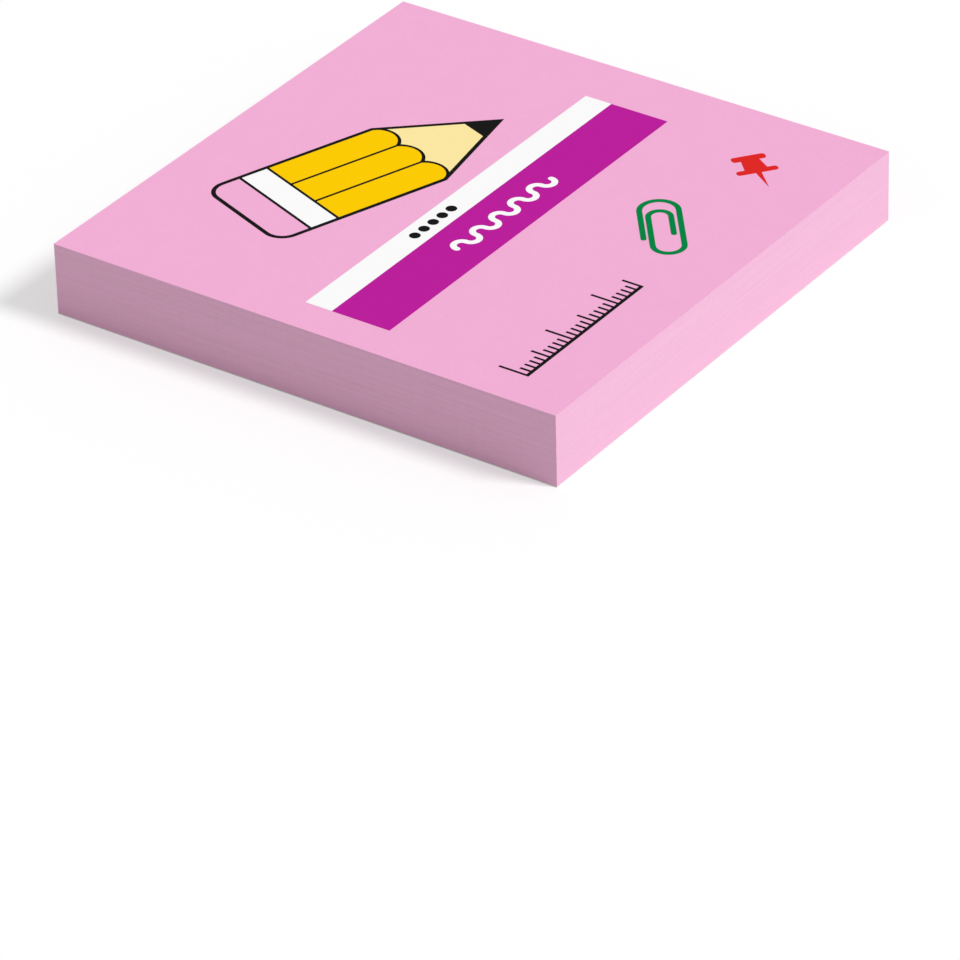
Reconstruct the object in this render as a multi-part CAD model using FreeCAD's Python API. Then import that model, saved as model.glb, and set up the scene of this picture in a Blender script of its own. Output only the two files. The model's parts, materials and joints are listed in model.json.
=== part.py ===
import FreeCAD
import Part

import math
import os

# Square sticky note pad with a printed top sheet.
#
# The pad is a stack of equal square sheets. Each sheet has a strip of low-tack adhesive on its
# underside, along one edge only, and the last one is stuck to a coated backing sheet. The stack was
# cut to size in one stroke, so its sides are flush. The plain sheets under the printed one are one
# solid, with the adhesive between them.
# The top sheet is printed in seven flat inks: a white and a purple band, and plain motifs of a
# pencil, a paper clip, a push pin, a ruler scale, a row of dots and a wavy line.
#
# Millimetres. Origin at the centre of the underside. +X runs to the right as the print is read,
# +Y towards the glued edge, +Z up.

# Paper
note_width = 76.0
note_length = 76.0
sheet_count = 90  # with the printed top sheet
sheet_thickness = 0.100
backing_thickness = 0.120

# Adhesive strip, coated over the full width before the pad is cut
adhesive_thickness = 0.012  # it keeps two sheets this far apart
adhesive_length = 20.0  # from the glued edge inwards, along Y
adhesive_edge_margin = 1.5  # bare paper between the strip and the glued edge

# Print. A margin is from an edge of the sheet, and a center or split place from its middle. The
# clip's and the pin's margins run to their centres, the ruler's to its base line.
ink_thickness = 0.020
band_left_margin = 5.4
band_right_margin = 8.6
band_split_y = -1.1  # where the white band meets the purple one
white_band_height = 4.0
purple_band_height = 8.7

dot_count = 5
dot_diameter = 1.5
dot_pitch = 2.0
dots_center_x = -8.0

wave_arc_count = 10
wave_arc_radius = 1.05  # of the stroke's middle line
wave_stroke = 0.85
wave_center_x = -1.4

pencil_center_x = -0.6
pencil_band_distance = 12.5  # from its middle to the white band
pencil_tilt = 160.0  # degrees, the point is at the lower right
pencil_length = 41.0
pencil_width = 17.0
pencil_outline = 0.60
pencil_line = 0.40  # between the fields inside the outline
pencil_facet_count = 3
eraser_length = 5.2
eraser_corner_radius = 2.8
ferrule_length = 4.2
cone_length = 15.0
lead_length = 4.8
paint_bulge = 1.4  # how far each facet's paint reaches into the cone

clip_center_x = 6.4
clip_bottom_margin = 14.0
clip_tilt = -52.0
clip_length = 14.0
clip_wire = 0.75
clip_outer_radius = 2.50  # the three bends, to the middle of the wire
clip_lower_radius = 2.00
clip_inner_radius = 1.45
clip_inner_setback = 2.6  # between the outer and the inner upper bend
clip_outer_end_height = 4.2  # the two free ends, up from the foot of the clip
clip_inner_end_height = 5.2

pin_right_margin = 13.3
pin_bottom_margin = 11.4
pin_tilt = -38.0
pin_cap_width = 4.6
pin_cap_height = 1.25
pin_neck_width = 2.3
pin_neck_height = 2.3
pin_flange_width = 5.6
pin_flange_height = 1.05
pin_needle_width = 0.75
pin_needle_length = 3.9
pin_corner_radius = 0.45

ruler_left_margin = 5.8
ruler_bottom_margin = 7.8
ruler_base_height = 0.50
ruler_tick_pitch = 1.0
ruler_tick_width = 0.36
ruler_tick_count = 26
ruler_short_tick = 2.0
ruler_middle_tick = 3.1
ruler_middle_step = 5  # ticks from one middle tick to the next
ruler_long_tick = 4.4
ruler_long_step = 10

# Worked out from the sizes above
sheet_pitch = sheet_thickness + adhesive_thickness
block_sheet_count = sheet_count - 1
lower_strip_z = backing_thickness
block_z = lower_strip_z + adhesive_thickness
block_height = block_sheet_count * sheet_pitch - adhesive_thickness
upper_strip_z = block_z + block_height
top_sheet_z = upper_strip_z + adhesive_thickness
print_z = top_sheet_z + sheet_thickness

UP = FreeCAD.Vector(0, 0, 1)
CENTRE = FreeCAD.Vector(0, 0, 0)


def plate(z, thickness):
    """A flat square piece of the pad's full size, from z upwards."""
    corner = FreeCAD.Vector(-note_width / 2, -note_length / 2, z)
    return Part.makeBox(note_width, note_length, thickness, corner)


def make_adhesive_strip(z):
    corner_y = note_length / 2 - adhesive_edge_margin - adhesive_length
    corner = FreeCAD.Vector(-note_width / 2, corner_y, z)
    return Part.makeBox(note_width, adhesive_length, adhesive_thickness, corner)


def ink(outline):
    """One field of ink: the area inside a closed outline, as a thin solid on the top sheet."""
    return Part.Face(outline).extrude(UP * ink_thickness)


def polygon(points):
    corners = [FreeCAD.Vector(x, y, print_z) for x, y in points]
    return ink(Part.makePolygon(corners + corners[:1]))


def rectangle(x0, y0, x1, y1):
    return polygon([(x0, y0), (x1, y0), (x1, y1), (x0, y1)])


def disc(x, y, radius):
    return ink(Part.Wire(Part.makeCircle(radius, FreeCAD.Vector(x, y, print_z))))


def fuse(fields):
    return fields[0].multiFuse(fields[1:]).removeSplitter()


def rounded_rectangle(x0, y0, x1, y1, radius):
    """A rectangle whose four corners are arcs of that radius."""
    corners = [
        disc(x, y, radius) for x in (x0 + radius, x1 - radius) for y in (y0 + radius, y1 - radius)
    ]
    upright = rectangle(x0 + radius, y0, x1 - radius, y1)
    level = rectangle(x0, y0 + radius, x1, y1 - radius)
    return fuse([upright, level] + corners)


def half_ring(x, y, radius, stroke, upper):
    """Half of a ring of that stroke, above or below the line through its centre."""
    ring = disc(x, y, radius + stroke / 2).cut(disc(x, y, radius - stroke / 2))
    reach = radius + stroke
    side = rectangle(x - reach, y, x + reach, y + reach if upper else y - reach)
    return ring.common(side)


def placed(field, x, y, tilt):
    """The field turned about the pad's centre, then moved by x, y."""
    copy = field.copy()
    copy.rotate(CENTRE, UP, tilt)
    copy.translate(FreeCAD.Vector(x, y, 0))
    return copy


def make_bands():
    """The white band above the purple one, each as a plain rectangle."""
    left = band_left_margin - note_width / 2
    right = note_width / 2 - band_right_margin
    white = rectangle(left, band_split_y, right, band_split_y + white_band_height)
    purple = rectangle(left, band_split_y - purple_band_height, right, band_split_y)
    return white, purple


def make_dots():
    """A centred row of dots in the middle of the white band."""
    y = band_split_y + white_band_height / 2
    first_x = dots_center_x - (dot_count - 1) * dot_pitch / 2
    return [disc(first_x + i * dot_pitch, y, dot_diameter / 2) for i in range(dot_count)]


def make_wave():
    """A wavy line of half rings, turned up and down in turn, in the middle of the purple band. Its
    two ends are round."""
    y = band_split_y - purple_band_height / 2
    half_length = wave_arc_count * wave_arc_radius
    stroke = [
        disc(wave_center_x - half_length, y, wave_stroke / 2),
        disc(wave_center_x + half_length, y, wave_stroke / 2),
    ]
    for i in range(wave_arc_count):
        x = wave_center_x - half_length + (2 * i + 1) * wave_arc_radius
        stroke.append(half_ring(x, y, wave_arc_radius, wave_stroke, i % 2 == 0))
    return fuse(stroke)


def pencil_silhouette(inset):
    """The pencil's outline, drawn with its point at x = 0 and its eraser end at x = length, and
    moved inwards by inset."""
    slope = math.atan2(pencil_width / 2, cone_length)
    point_x = inset / math.sin(slope)
    half = pencil_width / 2 - inset
    shoulder_x = point_x + half / math.tan(slope)
    end_x = pencil_length - inset
    cone = polygon([(point_x, 0), (shoulder_x, -half), (shoulder_x, half)])
    radius = eraser_corner_radius - inset
    body = rounded_rectangle(shoulder_x - 2 * radius, -half, end_x, half, radius)
    body = body.common(rectangle(shoulder_x, -half, end_x, half))
    return fuse([cone, body])


def paint_facet(index, grown):
    """One long facet of paint, with a round end that reaches into the cone, larger by grown."""
    width = pencil_width - 2 * pencil_outline - (pencil_facet_count - 1) * pencil_line
    width = width / pencil_facet_count
    low = pencil_outline + index * (width + pencil_line) - pencil_width / 2 - grown
    high = low + width + 2 * grown
    near = cone_length - grown
    far = pencil_length - eraser_length - ferrule_length - pencil_line
    tip = FreeCAD.Vector(near - paint_bulge, (low + high) / 2, print_z)
    points = [(near, low), (far, low), (far, high), (near, high)]
    corners = [FreeCAD.Vector(x, y, print_z) for x, y in points]
    arc = Part.Arc(corners[3], tip, corners[0])
    return ink(Part.Wire([arc.toShape()] + Part.makePolygon(corners).Edges))


def make_pencil():
    """The pencil's fields: paint, wood, ferrule, and the black outline and lead. The eraser's field
    is left bare."""
    inside = pencil_silhouette(pencil_outline)
    half = pencil_width / 2
    ferrule_x = pencil_length - eraser_length - ferrule_length
    eraser_x = pencil_length - eraser_length
    center_y = band_split_y + white_band_height + pencil_band_distance
    paint = [paint_facet(i, 0).common(inside) for i in range(pencil_facet_count)]
    painted = fuse([paint_facet(i, pencil_line) for i in range(pencil_facet_count)])
    wood = inside.common(rectangle(lead_length, -half, cone_length, half)).cut(painted)
    ferrule = inside.common(rectangle(ferrule_x, -half, eraser_x - pencil_line, half))
    eraser = inside.common(rectangle(eraser_x, -half, pencil_length, half))
    black = pencil_silhouette(0).cut(paint + [wood, ferrule, eraser])

    def to_pad(field):
        centred = placed(field, -pencil_length / 2, 0, 0)
        return placed(centred, pencil_center_x, center_y, pencil_tilt)

    return {
        "paint": [to_pad(facet) for facet in paint],
        "wood": to_pad(wood),
        "ferrule": to_pad(ferrule),
        "black": to_pad(black),
    }


def make_paper_clip():
    """A paper clip of one wire: four upright runs, joined by three bends, with round free ends."""
    run_x = [-clip_outer_radius, clip_outer_radius]
    run_x.append(run_x[1] - 2 * clip_lower_radius)
    run_x.append(run_x[2] + 2 * clip_inner_radius)
    foot = -clip_length / 2
    outer_y = clip_length / 2 - clip_outer_radius - clip_wire / 2
    lower_y = foot + clip_lower_radius + clip_wire / 2
    inner_y = clip_length / 2 - clip_inner_setback - clip_inner_radius - clip_wire / 2
    outer_end = foot + clip_outer_end_height
    inner_end = foot + clip_inner_end_height
    runs = [(outer_end, outer_y), (lower_y, outer_y), (lower_y, inner_y), (inner_end, inner_y)]
    half = clip_wire / 2
    wire = [rectangle(x - half, low, x + half, high) for x, (low, high) in zip(run_x, runs)]
    wire += [
        half_ring(0, outer_y, clip_outer_radius, clip_wire, True),
        half_ring(run_x[1] - clip_lower_radius, lower_y, clip_lower_radius, clip_wire, False),
        half_ring(run_x[2] + clip_inner_radius, inner_y, clip_inner_radius, clip_wire, True),
        disc(run_x[0], outer_end, half),
        disc(run_x[3], inner_end, half),
    ]
    return placed(fuse(wire), clip_center_x, clip_bottom_margin - note_length / 2, clip_tilt)


def make_push_pin():
    """A push pin seen from the side, needle down: cap, tapered neck, flange and needle."""
    flange_y = pin_needle_length
    neck_y = flange_y + pin_flange_height
    cap_y = neck_y + pin_neck_height
    top_y = cap_y + pin_cap_height

    def bar(width, low, high):
        return rounded_rectangle(-width / 2, low, width / 2, high, pin_corner_radius)

    half_neck = pin_neck_width / 2
    neck = polygon(
        [
            (-half_neck - pin_corner_radius, neck_y - pin_flange_height / 2),
            (half_neck + pin_corner_radius, neck_y - pin_flange_height / 2),
            (half_neck, cap_y + pin_cap_height / 2),
            (-half_neck, cap_y + pin_cap_height / 2),
        ]
    )
    half_needle = pin_needle_width / 2
    needle = polygon([(0, 0), (half_needle, flange_y), (-half_needle, flange_y)])
    pin = fuse([bar(pin_cap_width, cap_y, top_y), bar(pin_flange_width, flange_y, neck_y), neck, needle])
    pin.translate(FreeCAD.Vector(0, -top_y / 2, 0))
    center_x = note_width / 2 - pin_right_margin
    return placed(pin, center_x, pin_bottom_margin - note_length / 2, pin_tilt)


def make_ruler():
    """A ruler scale: a base line with a tick at every step, some of them longer."""
    left = ruler_left_margin - note_width / 2
    right = left + (ruler_tick_count - 1) * ruler_tick_pitch
    base = ruler_bottom_margin - note_length / 2
    half = ruler_tick_width / 2
    scale = [rectangle(left - half, base, right + half, base + ruler_base_height)]
    for i in range(ruler_tick_count):
        height = ruler_short_tick
        if i % ruler_middle_step == 0:
            height = ruler_middle_tick
        if i % ruler_long_step == 0:
            height = ruler_long_tick
        x = left + i * ruler_tick_pitch
        scale.append(rectangle(x - half, base, x + half, base + height))
    return fuse(scale)


def make_print():
    """Every ink's fields, which lie beside each other on the top sheet and never overlap."""
    white_band, purple_band = make_bands()
    dots = make_dots()
    wave = make_wave()
    pencil = make_pencil()
    return {
        "white_print": [white_band.cut(dots), wave, pencil["ferrule"]],
        "purple_print": [purple_band.cut(wave)],
        "yellow_print": pencil["paint"],
        "cream_print": [pencil["wood"]],
        "black_print": [pencil["black"], make_ruler()] + dots,
        "green_print": [make_paper_clip()],
        "red_print": [make_push_pin()],
    }


def make_pad():
    pad = {
        "backing_sheet": plate(0, backing_thickness),
        "lower_adhesive_strip": make_adhesive_strip(lower_strip_z),
        "note_block": plate(block_z, block_height),
        "upper_adhesive_strip": make_adhesive_strip(upper_strip_z),
        "top_sheet": plate(top_sheet_z, sheet_thickness),
    }
    for colour, fields in make_print().items():
        pad[colour] = Part.makeCompound([solid for field in fields for solid in field.Solids])
    return pad


os.makedirs("parts", exist_ok=True)
for node, shape in make_pad().items():
    shape.exportStep(f"parts/{node}.step")
    print(f"{node}: {len(shape.Solids)} solids, {shape.Volume:.3f} mm3, valid {shape.isValid()}")
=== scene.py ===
import json
import math
import random

import bpy
from mathutils import Matrix, Vector


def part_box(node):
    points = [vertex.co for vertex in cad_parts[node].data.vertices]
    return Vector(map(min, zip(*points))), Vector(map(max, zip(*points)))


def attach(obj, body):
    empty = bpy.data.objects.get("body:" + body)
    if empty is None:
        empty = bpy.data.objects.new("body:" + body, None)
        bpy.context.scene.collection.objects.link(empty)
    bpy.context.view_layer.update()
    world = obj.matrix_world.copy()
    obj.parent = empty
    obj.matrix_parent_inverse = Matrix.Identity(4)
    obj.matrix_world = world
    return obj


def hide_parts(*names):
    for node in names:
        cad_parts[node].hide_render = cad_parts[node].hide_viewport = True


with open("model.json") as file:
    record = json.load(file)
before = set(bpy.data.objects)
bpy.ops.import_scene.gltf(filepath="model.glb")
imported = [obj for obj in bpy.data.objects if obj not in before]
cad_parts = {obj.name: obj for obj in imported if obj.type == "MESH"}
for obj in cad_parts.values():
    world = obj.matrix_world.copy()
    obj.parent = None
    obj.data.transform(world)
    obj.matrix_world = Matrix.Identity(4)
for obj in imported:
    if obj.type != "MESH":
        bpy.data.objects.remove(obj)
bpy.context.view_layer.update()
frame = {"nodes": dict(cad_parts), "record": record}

# Looks of the square sticky note pad, in metres, in the frame's axes: +X to the right as the print
# is read, +Y towards the glued edge, +Z up. The solid block of plain sheets is replaced by its
# separate sheets and the adhesive between them; every other piece keeps its solid.

MM = 0.001

# Cut edges of the plain sheets. Waves are counted once round a sheet, or once up the stack.
SHEET_SEED = 76
SIDES = 4  # of a sheet, in the order front, right, back and left
SIDE_STEPS = 24  # points along one side of a sheet
WAVE_SIZES = (0.5, 1.0)  # each wave's size against the others is drawn from this range
CUT_WAVER = 0.010 * MM  # how far the cut leaves a straight line, alike on all sheets
CUT_WAVES = (2, 3, 5, 8)
STACK_WAVER = 0.030 * MM  # how far bundles of sheets stand back from the cut
STACK_WAVES = (1, 3, 7, 12, 19)
SHEET_SLIP = 0.006 * MM  # how far one sheet stands back more than its neighbours
EDGE_RIPPLE = 0.003 * MM  # fine unevenness of one sheet's edge
EDGE_WAVES = (7, 13, 29, 41)
PRESS_WIDTH = 0.6 * MM  # the cut pressed the sheets together this far in from their edges
NARROWEST_GAP = 0.12  # shares of a gap that stay open at the cut
WIDEST_GAP = 0.90
GAP_WAVES = (1, 2, 3, 5, 8)
GAP_CLOSENESS = 3  # the higher, the more of the gap's length is near its narrowest

# Noise
NOISE_DETAIL = 3.0  # layers of ever finer noise in a pattern that names no number of its own

# Paper
FIBRE_DIRECTIONS = 5
FIBRE_LENGTH = 3.2 * MM  # about how far one fibre runs before it bends back
FIBRE_SPACING = 0.55 * MM  # between the fibres of one direction
FIBRE_FINENESS = 0.012  # smaller is finer
FIBRE_SPAN = 0.036  # a span is the difference in lightness between the darkest and the palest
TOOTH_SIZE = 0.16 * MM  # the grain between the fibres
TOOTH_DETAIL = 4.0
TOOTH_SPAN = 0.070
CLOUD_SIZE = 3.0 * MM
CLOUD_SPAN = 0.030
PAPER_RELIEF = 0.006 * MM
PAPER_ROUGHNESS = 0.9
PAPER_SPECULAR = 0.15
COAT_ROUGHNESS = 0.55  # of the backing sheet's release coat
COAT_SPECULAR = 0.4

# Colour of a cut edge
STEEPEST_FACE = 0.5  # upward share of the normal, below which a surface is a cut edge
EDGE_PAINTED_HIGHLIGHT = 0.155  # share of white mixed into every cut edge's colour: a painted highlight, which makes the sides paler than the faces under the same light
SHEET_SPAN = 0.020  # from sheet to sheet
BAND_LENGTH = 35.0 * MM  # faint bands along the sheets
BAND_HEIGHT = 0.45 * MM
BAND_SPAN = 0.110
STREAK_WIDTH = 0.35 * MM  # upright streaks left by the knife
STREAK_HEIGHT = 15.0 * MM
STREAK_SPAN = 0.040
EDGE_RELIEF = 0.003 * MM

# Inks
INKS = ("white", "purple", "yellow", "cream", "black", "green", "red")
MOTTLE_SIZE = 0.45 * MM
MOTTLE_SPAN = 0.030
INK_TOOTH_SPAN = 0.090  # the paper's tooth, as it shows through the ink
INK_RELIEF = 0.004 * MM
INK_ROUGHNESS = (0.55, 0.75)
INK_SPECULAR = 0.012

# Adhesive
GRAIN_SIZE = 0.06 * MM  # of its microspheres
GRAIN_DETAIL = 1.0
GRAIN_SPAN = 0.06
GRAIN_RELIEF = 0.008 * MM
ADHESIVE_ROUGHNESS = 0.45
ADHESIVE_SPECULAR = 0.4

# Light: a plain sky and one soft sun, which together give a face that looks up its written colour
SKY_LEVEL = 0.50
SUN_LEVEL = 2.18
SUN_DIRECTION = Vector((0.20, -0.66, 0.72))  # from the pad towards the sun
SUN_WIDTH = math.radians(16)
FLOOR_COLOUR = 0.60
FLOOR_GLOW = 0.40  # seen by the camera alone, so that the lit floor reads white
FLOOR_SIZE = 6.0
FLOOR_DROP = 0.01 * MM

# Camera, at the photograph's viewing angle. The aim is the point of the floor in mid-picture.
VIEW_AZIMUTH = math.radians(-54.526)
VIEW_ELEVATION = math.radians(32.315)
VIEW_ROLL = math.radians(-1.528)
VIEW_DISTANCE = 784.11 * MM
VIEW_AIM = Vector((-41.58 * MM, -29.19 * MM, 0.0))
LENS = 243.54  # millimetres, on a sensor 36 mm wide
NEAREST_SEEN = 0.05
FURTHEST_SEEN = 20.0

block_low, block_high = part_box("note_block")
sheet_low, sheet_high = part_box("top_sheet")
strip_low, strip_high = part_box("upper_adhesive_strip")
SHEET_THICKNESS = sheet_high.z - sheet_low.z
GAP = strip_high.z - strip_low.z
PITCH = SHEET_THICKNESS + GAP
SHEET_COUNT = round((block_high.z - block_low.z + GAP) / PITCH)

WRITTEN_COLOUR = {m["slot"]: m["base_color"][:3] for m in frame["record"]["materials"]}


# Meshes


def new_piece(name, verts, faces, material):
    """A mesh object that rides on the pad's only body and takes its finish from a slot."""
    mesh = bpy.data.meshes.new(name)
    mesh.from_pydata(verts, [], faces)
    mesh.materials.append(material)
    piece = bpy.data.objects.new(name, mesh)
    bpy.context.scene.collection.objects.link(piece)
    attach(piece, "root")
    return piece


def ripple(rng, waves):
    """A smooth random function of a share from 0 to 1, whose values are from 0 to 1 too."""
    terms = [(wave, rng.uniform(0, math.tau), rng.uniform(*WAVE_SIZES)) for wave in waves]
    total = sum(size for _, _, size in terms)

    def value(share):
        swing = sum(size * math.sin(math.tau * wave * share + phase) for wave, phase, size in terms)
        return (1 + swing / total) / 2

    return value


def outline(depths, uneven):
    """Points round a sheet. Each of its sides stands back by its own depth, and between the corners
    by uneven(way) more, where way is the share of the way round."""
    front, right, back, left = depths
    x0, x1 = block_low.x + left, block_high.x - right
    y0, y1 = block_low.y + front, block_high.y - back
    corners = [Vector((x0, y0)), Vector((x1, y0)), Vector((x1, y1)), Vector((x0, y1))]
    inward = [Vector((0, 1)), Vector((-1, 0)), Vector((0, -1)), Vector((1, 0))]
    points = []
    for side in range(SIDES):
        start, end = corners[side], corners[(side + 1) % SIDES]
        for step in range(SIDE_STEPS):
            share = step / SIDE_STEPS
            bow = uneven((side + share) / SIDES) * math.sin(math.pi * share)
            points.append(start.lerp(end, share) + inward[side] * bow)
    return points


def unevenness(cut, fine):
    """How far a sheet's edge stands back between its corners, by the share of the way round."""
    return lambda way: CUT_WAVER * cut(way) + EDGE_RIPPLE * fine(way)


def reach_into_gap(wideness):
    """How far a sheet's face is pressed into a gap at the cut, by the share of the way round. The
    gap's wideness there is from 0 to 1."""

    def reach(way):
        open_share = NARROWEST_GAP + (WIDEST_GAP - NARROWEST_GAP) * wideness(way) ** GAP_CLOSENESS
        return GAP / 2 * (1 - open_share)

    return reach


def flat(way):
    """The reach of a sheet's face that has no other sheet next to it."""
    return 0.0


def sheet_rings(bottom, depths, uneven, below, above):
    """Four rings of points round one sheet: its flat underside, the lower and the upper edge of its
    cut, which reach into the gaps below and above, and its flat upper side."""
    top = bottom + SHEET_THICKNESS
    cut = outline(depths, uneven)
    inside = outline([depth + PRESS_WIDTH for depth in depths], uneven)
    ways = [step / len(cut) for step in range(len(cut))]
    return [
        [(x, y, bottom) for x, y in inside],
        [(x, y, bottom - below(way)) for (x, y), way in zip(cut, ways)],
        [(x, y, top + above(way)) for (x, y), way in zip(cut, ways)],
        [(x, y, top) for x, y in inside],
    ]


def skin(rings, first):
    """The faces of a closed solid over rings of points, of which the lowest starts at number first."""
    count = len(rings[0])
    faces = []
    for level in range(len(rings) - 1):
        low = first + level * count
        for i in range(count):
            j = (i + 1) % count
            faces.append((low + i, low + j, low + count + j, low + count + i))
    last = first + (len(rings) - 1) * count
    faces.append(tuple(reversed(range(first, first + count))))
    faces.append(tuple(range(last, last + count)))
    return faces


def make_sheets(material):
    """The plain sheets, each a closed thin solid whose edges were pressed up and down against its
    neighbours by the cut."""
    rng = random.Random(SHEET_SEED)
    cut = ripple(rng, CUT_WAVES)
    stacks = [ripple(rng, STACK_WAVES) for _ in range(SIDES)]
    reaches = [reach_into_gap(ripple(rng, GAP_WAVES)) for _ in range(SHEET_COUNT - 1)]
    reaches = [flat] + reaches + [flat]
    verts, faces = [], []
    for number in range(SHEET_COUNT):
        uneven = unevenness(cut, ripple(rng, EDGE_WAVES))
        height = number / SHEET_COUNT
        depths = [STACK_WAVER * stack(height) + rng.uniform(0, SHEET_SLIP) for stack in stacks]
        bottom = block_low.z + number * PITCH
        rings = sheet_rings(bottom, depths, uneven, reaches[number], reaches[number + 1])
        faces += skin(rings, len(verts))
        for ring in rings:
            verts += ring
    piece = new_piece("note_sheets", verts, faces, material)
    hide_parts("note_block")


def make_adhesive_layers(material):
    """The adhesive strips between the plain sheets, each a thin flat box that stays clear of where
    the cut pressed the sheets together."""
    x0, x1 = strip_low.x + PRESS_WIDTH, strip_high.x - PRESS_WIDTH
    y0, y1 = strip_low.y, strip_high.y
    box_faces = [(3, 2, 1, 0), (4, 5, 6, 7), (0, 1, 5, 4), (1, 2, 6, 5), (2, 3, 7, 6), (3, 0, 4, 7)]
    verts, faces = [], []
    for number in range(1, SHEET_COUNT):
        first = len(verts)
        top = block_low.z + number * PITCH
        for z in (top - GAP, top):
            verts += [(x0, y0, z), (x1, y0, z), (x1, y1, z), (x0, y1, z)]
        faces += [tuple(first + v for v in face) for face in box_faces]
    new_piece("adhesive_layers", verts, faces, material)


# Nodes of a material


def add_node(tree, kind, sockets=None, **settings):
    """A new node. Sockets gives its inputs by name or number, each a value or another node's output."""
    node = tree.nodes.new(kind)
    for name, value in settings.items():
        setattr(node, name, value)
    for name, value in (sockets or {}).items():
        if isinstance(value, bpy.types.NodeSocket):
            tree.links.new(value, node.inputs[name])
        else:
            node.inputs[name].default_value = value
    return node


def math_node(tree, operation, a, b=0.0):
    return add_node(tree, "ShaderNodeMath", {0: a, 1: b}, operation=operation).outputs[0]


def noise(tree, place, size, detail=NOISE_DETAIL):
    """A noise pattern, from 0 to 1, whose features are about that size."""
    sockets = {"Vector": place, "Scale": 1 / size, "Detail": detail}
    return add_node(tree, "ShaderNodeTexNoise", sockets).outputs["Fac"]


def stretched_noise(tree, place, sizes, detail=NOISE_DETAIL):
    """A noise pattern whose features have about those sizes along X, Y and Z."""
    sockets = {0: place, 1: [1 / size for size in sizes]}
    shrunk = add_node(tree, "ShaderNodeVectorMath", sockets, operation="MULTIPLY").outputs["Vector"]
    return noise(tree, shrunk, 1.0, detail)


def ramp(tree, value, low, high):
    """Takes a value from 0 to 1 to the range from low to high."""
    sockets = {"Value": value, "To Min": low, "To Max": high}
    return add_node(tree, "ShaderNodeMapRange", sockets).outputs["Result"]


def tinted(tree, colour, patterns):
    """The colour, made darker and paler by each pattern, over that pattern's span."""
    tone = None
    for pattern, span in patterns:
        factor = ramp(tree, pattern, 1 - span / 2, 1 + span / 2)
        tone = math_node(tree, "MULTIPLY", tone, factor) if tone else factor
    sockets = {"Vector": colour, "Scale": tone}
    return add_node(tree, "ShaderNodeVectorMath", sockets, operation="SCALE").outputs["Vector"]


def either(tree, choice, without, with_it):
    """The second colour where the choice is 1, and the first where it is 0."""
    mix = add_node(tree, "ShaderNodeMix", {"Factor": choice}, data_type="VECTOR")
    first, second = [socket for socket in mix.inputs if socket.enabled and socket.name in ("A", "B")]
    tree.links.new(without, first)
    tree.links.new(with_it, second)
    return next(socket for socket in mix.outputs if socket.enabled)


def add_relief(tree, shader, height, depth):
    sockets = {"Height": height, "Strength": 1.0, "Distance": depth}
    bump = add_node(tree, "ShaderNodeBump", sockets)
    tree.links.new(bump.outputs["Normal"], shader.inputs["Normal"])


def new_material(name):
    """A material with its tree, its shader and the object's own coordinates."""
    material = bpy.data.materials.new(name)
    material.use_nodes = True
    tree = material.node_tree
    place = add_node(tree, "ShaderNodeTexCoord").outputs["Object"]
    return material, tree, tree.nodes["Principled BSDF"], place


# Materials


def fibres(tree, place):
    """Long thin threads that cross, 1 in the middle of a thread and 0 between them. A thread runs
    where a smooth noise, stretched in one of the directions, crosses its middle value."""
    threads = None
    sizes = (FIBRE_LENGTH, FIBRE_SPACING, FIBRE_SPACING)
    for number in range(FIBRE_DIRECTIONS):
        sockets = {"Vector": place, "Angle": math.pi * number / FIBRE_DIRECTIONS}
        turn = add_node(tree, "ShaderNodeVectorRotate", sockets, rotation_type="Z_AXIS")
        pattern = stretched_noise(tree, turn.outputs["Vector"], sizes, detail=0.0)
        aside = math_node(tree, "ABSOLUTE", math_node(tree, "SUBTRACT", pattern, 0.5))
        sockets = {"Value": aside, "From Max": FIBRE_FINENESS, "To Min": 1.0, "To Max": 0.0}
        thread = add_node(tree, "ShaderNodeMapRange", sockets).outputs["Result"]
        threads = math_node(tree, "MAXIMUM", threads, thread) if threads else thread
    return threads


def paper_grain(tree, place):
    """The fibres and the tooth between them, and both together as a height from 0 to 1."""
    threads = fibres(tree, place)
    tooth = noise(tree, place, TOOTH_SIZE, TOOTH_DETAIL)
    height = math_node(tree, "DIVIDE", math_node(tree, "ADD", threads, tooth), 2.0)
    return threads, tooth, height


def sheet_place(tree, place):
    """The place with its height, counted from the block's foot, taken down to the foot of its own
    sheet, and that height by itself."""
    x, y, z = add_node(tree, "ShaderNodeSeparateXYZ", {0: place}).outputs
    above = math_node(tree, "SUBTRACT", z, block_low.z - GAP / 2)
    foot = math_node(tree, "SNAP", above, PITCH)
    return add_node(tree, "ShaderNodeCombineXYZ", {0: x, 1: y, 2: foot}).outputs[0], foot


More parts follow.
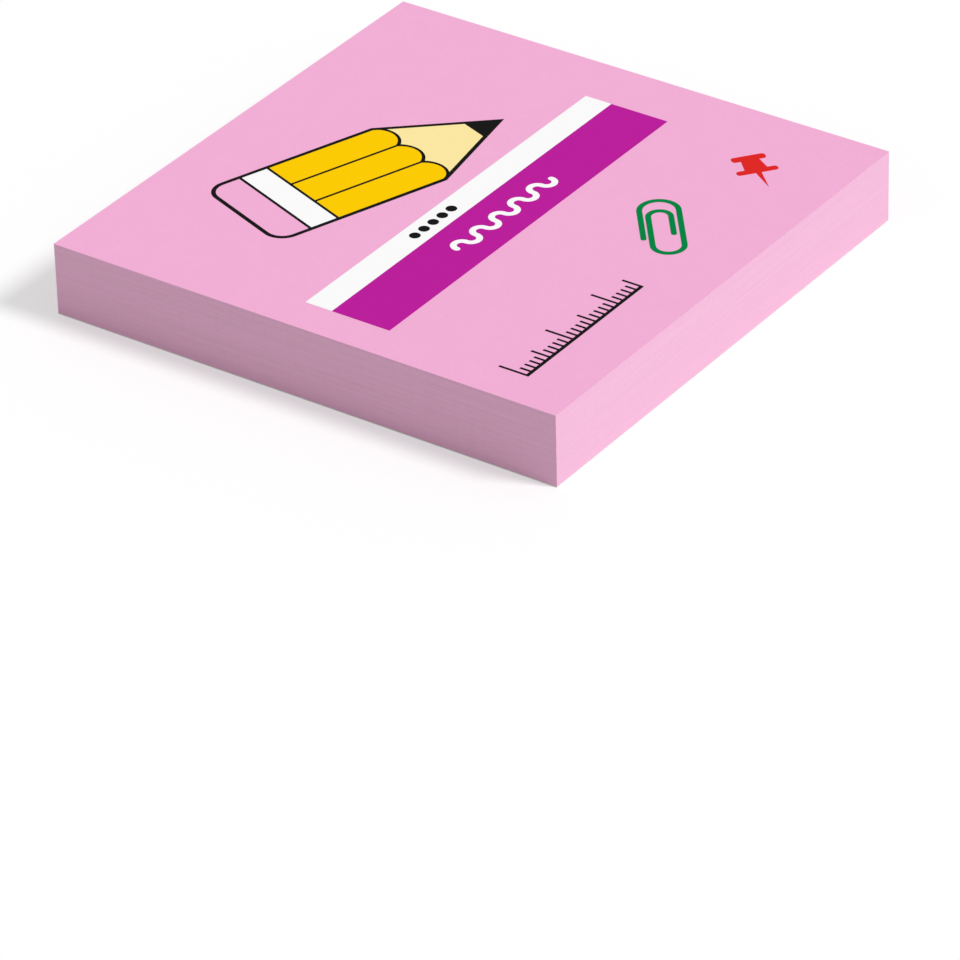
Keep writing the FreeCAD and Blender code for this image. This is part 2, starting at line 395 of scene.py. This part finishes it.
def make_paper(name, colour, roughness=PAPER_ROUGHNESS, specular=PAPER_SPECULAR):
    """Uncoated paper: fibrous on its faces, and on its cut edges paler with a painted highlight, with one
    tone a sheet, faint bands along the sheets and the knife's upright streaks."""
    material, tree, shader, place = new_material(name)
    threads, tooth, grain = paper_grain(tree, place)
    cloud = noise(tree, place, CLOUD_SIZE)
    face = tinted(tree, colour, [(cloud, CLOUD_SPAN), (tooth, TOOTH_SPAN), (threads, FIBRE_SPAN)])

    on_sheet, foot = sheet_place(tree, place)
    sheet = add_node(tree, "ShaderNodeTexWhiteNoise", {"W": foot}, noise_dimensions="1D").outputs["Value"]
    band = stretched_noise(tree, on_sheet, (BAND_LENGTH, BAND_LENGTH, BAND_HEIGHT))
    streak = stretched_noise(tree, place, (STREAK_WIDTH, STREAK_WIDTH, STREAK_HEIGHT))
    # Painted highlight: white is mixed into the colour of every cut edge, so the sides read paler than
    # the faces.
    painted_highlight_edge = [c + (1 - c) * EDGE_PAINTED_HIGHLIGHT for c in colour]
    edge = tinted(tree, painted_highlight_edge, [(sheet, SHEET_SPAN), (band, BAND_SPAN), (streak, STREAK_SPAN)])

    normal = add_node(tree, "ShaderNodeNewGeometry").outputs["True Normal"]
    upward = add_node(tree, "ShaderNodeSeparateXYZ", {0: normal}).outputs["Z"]
    is_face = math_node(tree, "GREATER_THAN", math_node(tree, "ABSOLUTE", upward), STEEPEST_FACE)
    tree.links.new(either(tree, is_face, edge, face), shader.inputs["Base Color"])
    add_relief(tree, shader, grain, ramp(tree, is_face, EDGE_RELIEF, PAPER_RELIEF))
    shader.inputs["Roughness"].default_value = roughness
    shader.inputs["Specular IOR Level"].default_value = specular
    return material


def make_ink(name, colour):
    """Flat opaque ink that soaked into the paper: slightly mottled, and a little smoother than it."""
    material, tree, shader, place = new_material(name)
    _, tooth, grain = paper_grain(tree, place)
    mottle = noise(tree, place, MOTTLE_SIZE)
    field = tinted(tree, colour, [(mottle, MOTTLE_SPAN), (tooth, INK_TOOTH_SPAN)])
    tree.links.new(field, shader.inputs["Base Color"])
    tree.links.new(ramp(tree, mottle, *INK_ROUGHNESS), shader.inputs["Roughness"])
    add_relief(tree, shader, grain, INK_RELIEF)
    shader.inputs["Specular IOR Level"].default_value = INK_SPECULAR
    return material


def make_adhesive(name, colour):
    """Clear low-tack adhesive: a satin film that is finely grained with its microspheres."""
    material, tree, shader, place = new_material(name)
    grain = noise(tree, place, GRAIN_SIZE, GRAIN_DETAIL)
    tree.links.new(tinted(tree, colour, [(grain, GRAIN_SPAN)]), shader.inputs["Base Color"])
    add_relief(tree, shader, grain, GRAIN_RELIEF)
    shader.inputs["Roughness"].default_value = ADHESIVE_ROUGHNESS
    shader.inputs["Specular IOR Level"].default_value = ADHESIVE_SPECULAR
    return material


def dress(node, material):
    frame["nodes"][node].data.materials.clear()
    frame["nodes"][node].data.materials.append(material)


# Stage


def seen(tree):
    """1 for a ray from the camera, straight or by way of gloss or glass, and 0 for any other."""
    rays = add_node(tree, "ShaderNodeLightPath").outputs
    mirrored = math_node(tree, "MAXIMUM", rays["Is Glossy Ray"], rays["Is Transmission Ray"])
    return math_node(tree, "MAXIMUM", rays["Is Camera Ray"], mirrored)


def make_floor():
    """A plain white floor that keeps the pad's shadow."""
    half = FLOOR_SIZE / 2
    mesh = bpy.data.meshes.new("floor")
    corners = [(-half, -half, 0), (half, -half, 0), (half, half, 0), (-half, half, 0)]
    mesh.from_pydata(corners, [], [(0, 1, 2, 3)])
    floor = bpy.data.objects.new("floor", mesh)
    floor.location.z = -FLOOR_DROP
    bpy.context.scene.collection.objects.link(floor)

    material = bpy.data.materials.new("floor_white")
    material.use_nodes = True
    tree = material.node_tree
    tree.nodes.clear()
    plain = add_node(tree, "ShaderNodeBsdfDiffuse", {"Color": (FLOOR_COLOUR,) * 3 + (1,)})
    glow = add_node(tree, "ShaderNodeEmission", {"Strength": ramp(tree, seen(tree), 0, FLOOR_GLOW)})
    both = add_node(tree, "ShaderNodeAddShader", {0: plain.outputs[0], 1: glow.outputs[0]})
    add_node(tree, "ShaderNodeOutputMaterial", {"Surface": both.outputs[0]})
    mesh.materials.append(material)


def make_light():
    """A plain sky, white where the camera sees it, and one soft sun."""
    world = bpy.data.worlds.new("studio")
    world.use_nodes = True
    tree = world.node_tree
    tree.nodes.clear()
    level = ramp(tree, seen(tree), SKY_LEVEL, 1.0)
    sky = add_node(tree, "ShaderNodeBackground", {"Color": (1, 1, 1, 1), "Strength": level})
    add_node(tree, "ShaderNodeOutputWorld", {"Surface": sky.outputs[0]})
    bpy.context.scene.world = world

    sun = bpy.data.lights.new("sun", "SUN")
    sun.energy = SUN_LEVEL
    sun.angle = SUN_WIDTH
    lamp = bpy.data.objects.new("sun", sun)
    lamp.rotation_mode = "QUATERNION"
    lamp.rotation_quaternion = SUN_DIRECTION.to_track_quat("Z", "Y")
    bpy.context.scene.collection.objects.link(lamp)


def make_camera():
    camera = bpy.data.objects.new("camera", bpy.data.cameras.new("camera"))
    back = Vector((
        math.sin(VIEW_AZIMUTH) * math.cos(VIEW_ELEVATION),
        -math.cos(VIEW_AZIMUTH) * math.cos(VIEW_ELEVATION),
        math.sin(VIEW_ELEVATION),
    ))
    level = (-back).to_track_quat("-Z", "Y").to_matrix().to_4x4()
    turn = level @ Matrix.Rotation(VIEW_ROLL, 4, "Z")
    camera.matrix_world = Matrix.Translation(VIEW_AIM + back * VIEW_DISTANCE) @ turn
    camera.data.lens = LENS
    camera.data.clip_start = NEAREST_SEEN
    camera.data.clip_end = FURTHEST_SEEN
    bpy.context.scene.collection.objects.link(camera)
    bpy.context.scene.camera = camera


make_camera()
make_light()
make_floor()

adhesive = make_adhesive("adhesive", WRITTEN_COLOUR["adhesive"])
make_sheets(make_paper("note_paper", WRITTEN_COLOUR["note_paper"]))
make_adhesive_layers(adhesive)

coated = make_paper("backing_paper", WRITTEN_COLOUR["backing_paper"], COAT_ROUGHNESS, COAT_SPECULAR)
dress("backing_sheet", coated)
dress("lower_adhesive_strip", adhesive)
dress("upper_adhesive_strip", adhesive)
dress("top_sheet", make_paper("top_paper", WRITTEN_COLOUR["top_paper"]))
for name in INKS:
    dress(f"{name}_print", make_ink(f"{name}_ink", WRITTEN_COLOUR[f"{name}_ink"]))

bpy.context.scene.view_settings.view_transform = "Standard"
